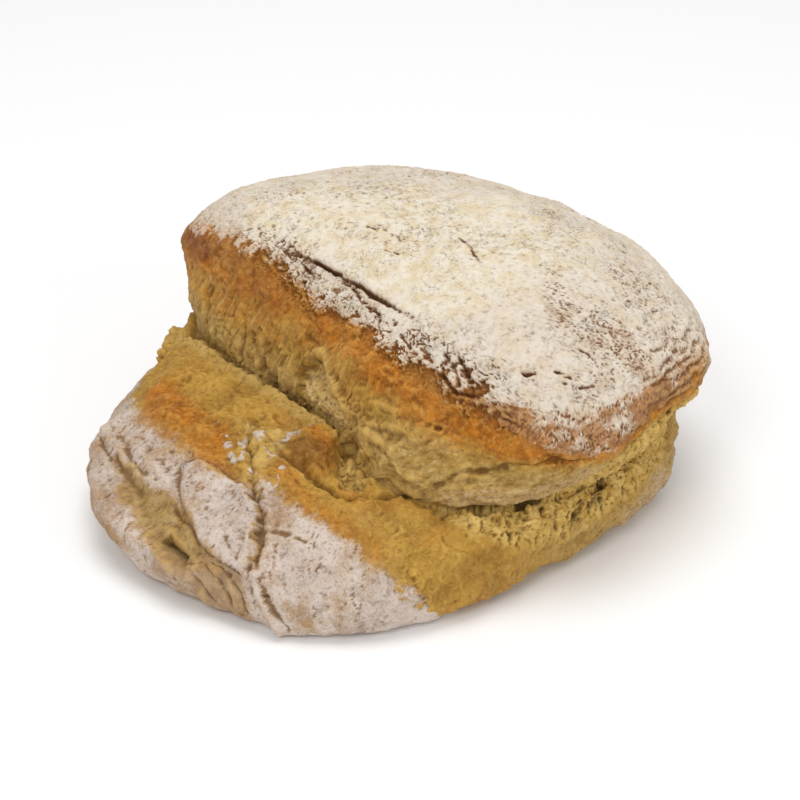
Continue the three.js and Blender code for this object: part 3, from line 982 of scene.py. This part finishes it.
material = bpy.data.materials.new("baked_bread")
material.use_nodes = True
tree = material.node_tree
tree.nodes.clear()
output = tree.nodes.new("ShaderNodeOutputMaterial")
shader = tree.nodes.new("ShaderNodeBsdfPrincipled")
tree.links.new(shader.outputs["BSDF"], output.inputs["Surface"])
place = tree.nodes.new("ShaderNodeTexCoord").outputs["Object"]


def cover(name, kind="Fac"):
    """One of the mesh's covers."""
    node = tree.nodes.new("ShaderNodeAttribute")
    node.attribute_name = name
    return node.outputs[kind]


def grain(size_mm, detail_layers=4.0, roughness=0.6, where=place, output="Fac"):
    """Noise with features about this many millimetres across."""
    node = tree.nodes.new("ShaderNodeTexNoise")
    node.inputs["Scale"].default_value = 1 / (size_mm * MM)
    node.inputs["Detail"].default_value = detail_layers
    node.inputs["Roughness"].default_value = roughness
    tree.links.new(where, node.inputs["Vector"])
    return node.outputs[output]


def spread(value, low_in, high_in, low_out=0.0, high_out=1.0):
    """The value's range from low_in to high_in moved to another range, and held at its ends."""
    node = tree.nodes.new("ShaderNodeMapRange")
    node.interpolation_type = "SMOOTHSTEP"
    node.inputs["From Min"].default_value = low_in
    node.inputs["From Max"].default_value = high_in
    node.inputs["To Min"].default_value = low_out
    node.inputs["To Max"].default_value = high_out
    tree.links.new(value, node.inputs["Value"])
    return node.outputs["Result"]


def feed(socket, value):
    """Give a socket a fixed number or colour, or another node's output."""
    if isinstance(value, (tuple, int, float)):
        socket.default_value = value
    else:
        tree.links.new(value, socket)


def mathed(operation, *values):
    """The result of a sum done at each point of the surface."""
    node = tree.nodes.new("ShaderNodeMath")
    node.operation = operation
    for socket, value in zip(node.inputs, values):
        feed(socket, value)
    return node.outputs["Value"]


def product(*factors):
    """The factors multiplied together."""
    total = factors[0]
    for factor in factors[1:]:
        total = mathed("MULTIPLY", total, factor)
    return total


def added(*terms):
    """Sum of (value, share) terms."""
    total = product(*terms[0])
    for value, share in terms[1:]:
        total = mathed("ADD", total, product(value, share))
    return total


def mixed(share, a, b):
    """Colour a turned towards colour b by the share."""
    node = tree.nodes.new("ShaderNodeMix")
    node.data_type = "RGBA"
    for socket, value in zip((node.inputs["Factor"], node.inputs[6], node.inputs[7]), (share, a, b)):
        feed(socket, value)
    return node.outputs[2]


def two_tone(noise_value, start, end, first, second):
    """One screen colour giving way to another as the noise goes from start to end."""
    return mixed(spread(noise_value, start, end), linear(*first), linear(*second))


def flecked(base, noise_value, start, end, most, tone):
    """A colour turned towards a screen colour, by up to a share, as the noise goes from start to end."""
    return mixed(spread(noise_value, start, end, 0, most), base, linear(*tone))


def bent(size_mm, reach_mm):
    """The place on the object pushed about by noise."""
    push = tree.nodes.new("ShaderNodeVectorMath")
    push.operation = "MULTIPLY_ADD"
    tree.links.new(grain(size_mm, 3, 0.6, output="Color"), push.inputs[0])
    push.inputs[1].default_value = (reach_mm * MM,) * 3
    tree.links.new(place, push.inputs[2])
    return push.outputs["Vector"]


def pores(size_mm, reach):
    """Round pores, a little out of shape: 1 in the middle of each, 0 between them."""
    node = tree.nodes.new("ShaderNodeTexVoronoi")
    node.inputs["Scale"].default_value = 1 / (size_mm * MM)
    tree.links.new(bent(1.5, 1.5), node.inputs["Vector"])
    return spread(node.outputs["Distance"], 0.05, reach, 1, 0)


flour_cover, thick_cover, dusty_cover = cover("flour"), cover("thick"), cover("dusty")
bake_cover, pale_cover, olive_cover = cover("bake"), cover("pale"), cover("olive")
crumb_cover, scorch_cover, shade_cover = cover("crumb"), cover("scorch"), cover("shade")
cranny_shade_cover, crest_highlight_cover, streaky_cover = cover("cranny"), cover("crest_highlight"), cover("streaky")
broad, patch, mottling = grain(24, 3), grain(7, 5, 0.65), grain(2.6, 4, 0.65)
speck, dust = grain(1.1, 4, 0.7), grain(0.45, 3, 0.7)
streak = grain(1.5, 5, 0.68, cover("run", "Vector"))

# Bare crust, from golden to orange brown, paler where it stretched and olive where it is thin.
gold = two_tone(broad, 0.35, 0.65, (200, 157, 70), (167, 125, 52))
browned = two_tone(patch, 0.35, 0.65, (203, 124, 30), (156, 88, 16))
stretched = two_tone(patch, 0.3, 0.7, (205, 171, 104), (170, 134, 68))
olive_tan = two_tone(patch, 0.35, 0.65, (192, 164, 104), (158, 126, 62))
bare_crust = mixed(bake_cover, gold, browned)
bare_crust = mixed(pale_cover, bare_crust, stretched)
bare_crust = mixed(olive_cover, bare_crust, olive_tan)
# Darker and lighter mottling and specks in it, the light specks being painted highlights: noise, its range,
# the most they show, their colour.
for noise_value, start, end, most, tone in (
    (mottling, 0.48, 0.72, 0.45, (140, 92, 36)),
    (mottling, 0.5, 0.3, 0.35, (222, 174, 88)),
    (speck, 0.58, 0.7, 0.55, (120, 72, 28)),
    (speck, 0.42, 0.3, 0.5, (236, 198, 128)),
):
    bare_crust = flecked(bare_crust, noise_value, start, end, most, tone)
dark_streaks = product(streaky_cover, spread(streak, 0.52, 0.7, 0, 0.7))
light_streaks = product(streaky_cover, spread(streak, 0.46, 0.3, 0, 0.6))
bare_crust = mixed(dark_streaks, bare_crust, linear(126, 92, 44))
bare_crust = mixed(light_streaks, bare_crust, linear(228, 200, 140))

# Open crumb, olive tan, with painted shade in its fine pores.
pore = pores(1.9, 0.42)
crumb_tone = two_tone(patch, 0.3, 0.7, (232, 197, 118), (200, 160, 78))
crumb_tone = mixed(product(pore, 0.26), crumb_tone, linear(124, 90, 36))
colour = mixed(crumb_cover, bare_crust, crumb_tone)

# Dusty crust under the flour, a painted highlight on the crests, and scorched cracks.
dusty_tone = two_tone(patch, 0.3, 0.7, (188, 162, 140), (162, 132, 112))
colour = mixed(product(dusty_cover, 0.85), colour, dusty_tone)
colour = mixed(product(crest_highlight_cover, 0.3), colour, linear(234, 188, 102))
colour = mixed(scorch_cover, colour, linear(108, 63, 48))

# Flour, cream where thick and lilac grey where thin, over it all.
cream = two_tone(patch, 0.4, 0.66, (243, 233, 214), (234, 216, 180))
grey = two_tone(broad, 0.38, 0.62, (226, 212, 202), (212, 196, 184))
flour_tone = flecked(mixed(thick_cover, grey, cream), mottling, 0.5, 0.72, 0.4, (194, 168, 142))
flour_grains = added((flour_cover, 1.9), (speck, -1.25), (dust, -0.5), (mottling, -0.3))
powder = spread(flour_grains, -0.3, 0.5, 0, 0.96)
colour = mixed(powder, colour, flour_tone)

# Hair cracks and specks worn through the flour.
off_middle = mathed("ABSOLUTE", mathed("SUBTRACT", grain(3.4, 5, 0.62, bent(7, 3)), 0.5))
hairs = product(spread(off_middle, 0.018, 0.004), spread(grain(4, 3), 0.47, 0.58), spread(broad, 0.4, 0.58))
floured_hairs = product(hairs, powder)
specks = product(spread(speck, 0.57, 0.66, 0, 0.7), powder, spread(patch, 0.42, 0.62, 0.3, 1))
specks = product(specks, spread(thick_cover, 0.3, 1, 0.75, 0.6))
colour = mixed(product(floured_hairs, 0.62), colour, linear(124, 90, 68))
colour = mixed(specks, colour, linear(150, 118, 90))

# Painted shade in small crannies and in the deepest places, darkest of all.
colour = mixed(product(cranny_shade_cover, 0.58), colour, linear(100, 62, 26))
colour = mixed(spread(shade_cover, 0.1, 0.9, 0, 0.85), colour, linear(72, 48, 14))
tree.links.new(colour, shader.inputs["Base Color"])

# Baked crust has a faint shine, and flour has none.
CRUST_ROUGHNESS, FLOUR_ROUGHNESS = 0.55, 0.95
tree.links.new(spread(powder, 0, 1, CRUST_ROUGHNESS, FLOUR_ROUGHNESS), shader.inputs["Roughness"])
shader.inputs["Specular IOR Level"].default_value = 0.15

RELIEF_HEIGHT = 1.1 * MM
relief = added(
    (mottling, 0.9),
    (speck, 0.95),
    (dust, 0.4),
    (floured_hairs, -0.5),
    (product(streak, streaky_cover), 0.9),
    (product(pore, crumb_cover), -0.45),
)
bump = tree.nodes.new("ShaderNodeBump")
bump.inputs["Distance"].default_value = RELIEF_HEIGHT
bump.inputs["Strength"].default_value = 0.8
tree.links.new(relief, bump.inputs["Height"])
tree.links.new(bump.outputs["Normal"], shader.inputs["Normal"])
loaf.data.materials.append(material)

# ---------------------------------------------------------------- floor, light and camera
# Lengths here are in metres.

FLOOR_HALF = 6.0
FLOOR_TONE = (0.93, 0.93, 0.93, 1)
floor_mesh = bpy.data.meshes.new("floor")
floor_corners = [(x * FLOOR_HALF, y * FLOOR_HALF, 0) for x, y in ((-1, -1), (1, -1), (1, 1), (-1, 1))]
floor_mesh.from_pydata(floor_corners, [], [(0, 1, 2, 3)])
floor = bpy.data.objects.new("floor", floor_mesh)
bpy.context.scene.collection.objects.link(floor)
paper = bpy.data.materials.new("pale_floor")
paper.use_nodes = True
paper_shader = paper.node_tree.nodes["Principled BSDF"]
paper_shader.inputs["Base Color"].default_value = FLOOR_TONE
paper_shader.inputs["Roughness"].default_value = 0.9
floor_mesh.materials.append(paper)

# The point that the camera and the lights look at.
AIM = Vector((0.0062, 0.0065, 0.038))


def soft_light(name, place_at, size, watts):
    """A round lamp facing the loaf."""
    lamp = bpy.data.lights.new(name, "AREA")
    lamp.shape = "DISK"
    lamp.size = size
    lamp.energy = watts
    body = bpy.data.objects.new(name, lamp)
    body.location = place_at
    body.rotation_euler = (AIM - Vector(place_at)).to_track_quat("-Z", "Y").to_euler()
    bpy.context.scene.collection.objects.link(body)


soft_light("overhead_light", place_at=(-0.1, 0.1, 1.8), size=1.2, watts=14.2)
soft_light("key_light", place_at=(0.6, -1.2, 1.3), size=0.7, watts=8)
soft_light("side_light", place_at=(1.6, 0.5, 0.8), size=0.9, watts=4)

SKY_STRENGTH = 0.56
world = bpy.data.worlds.new("studio")
world.use_nodes = True
sky = world.node_tree.nodes["Background"]
sky.inputs["Color"].default_value = (1, 1, 1, 1)
sky.inputs["Strength"].default_value = SKY_STRENGTH
bpy.context.scene.world = world
bpy.context.scene.view_settings.view_transform = "Standard"

CAMERA_AZIMUTH, CAMERA_ELEVATION, CAMERA_DISTANCE = 50, 32, 1.0
FOCAL_LENGTH, SENSOR_WIDTH = 100, 36
turn, tilt = np.radians(CAMERA_AZIMUTH), np.radians(CAMERA_ELEVATION)
towards = Vector((np.sin(turn) * np.cos(tilt), -np.cos(turn) * np.cos(tilt), np.sin(tilt)))
lens = bpy.data.cameras.new("camera")
lens.lens = FOCAL_LENGTH
lens.sensor_width = SENSOR_WIDTH
camera = bpy.data.objects.new("camera", lens)
camera.location = AIM + towards * CAMERA_DISTANCE
camera.rotation_euler = (-towards).to_track_quat("-Z", "Y").to_euler()
bpy.context.scene.collection.objects.link(camera)
bpy.context.scene.camera = camera
